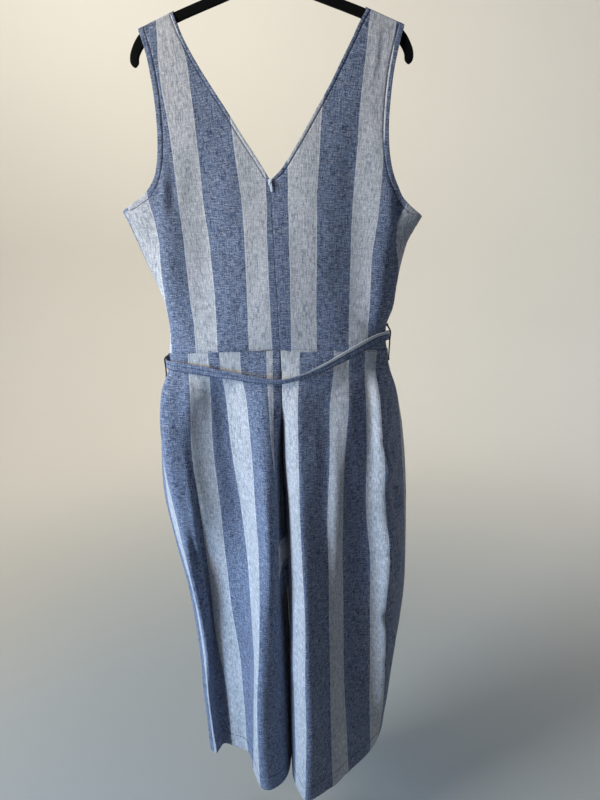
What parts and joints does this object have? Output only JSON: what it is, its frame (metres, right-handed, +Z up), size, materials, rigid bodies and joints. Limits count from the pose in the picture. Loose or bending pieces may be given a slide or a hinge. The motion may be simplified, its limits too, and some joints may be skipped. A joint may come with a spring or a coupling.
{
  "type": "jumpsuit on a hanger",
  "caption": "Sleeveless V-back striped jumpsuit with wide cropped legs, a narrow tie belt and a back zip, hanging on a slim hanger.",
  "frame": {"origin": "the point where a rail bears on the inside of the hanger's hook, at its top", "axes": "+Z up; -Y is the garment's back, the side with the zip; +X is to the right seen from that side"},
  "size_m": [0.5025, 0.2021, 1.5348],
  "materials": {
    "bodice_cloth": "matt striped chambray, blue and pale grey",
    "leg_cloth": "matt striped chambray, blue and pale grey",
    "belt_cloth": "matt chambray",
    "thread": "dark navy thread",
    "tape": "woven navy tape",
    "zip_metal": "pale silver",
    "hanger": "matt black, flocked",
    "hook": "polished"
  },
  "bodies": {
    "jumpsuit": {"bodice_back_left": "bodice_cloth", "bodice_back_right": "bodice_cloth", "bodice_front": "bodice_cloth", "leg_back_left": "leg_cloth", "leg_back_right": "leg_cloth", "leg_front_left": "leg_cloth", "leg_front_right": "leg_cloth", "belt": "belt_cloth", "belt_knot": "belt_cloth", "belt_end_left": "belt_cloth", "belt_end_right": "belt_cloth", "loop_left": "thread", "loop_right": "thread", "zip_tape": "tape", "zip_slider": "zip_metal", "hanger_arms": "hanger", "hanger_hook": "hook"},
    "pull_tab": {"zip_pull": "zip_metal"}
  },
  "joints": [
    {"name": "zip_pull_swing", "type": "hinge", "parent": "jumpsuit", "child": "pull_tab", "pos_m": [0.0005, -0.02872, -0.36], "axis": [-1, 0, 0], "range_deg": [0, 160]}
  ]
}
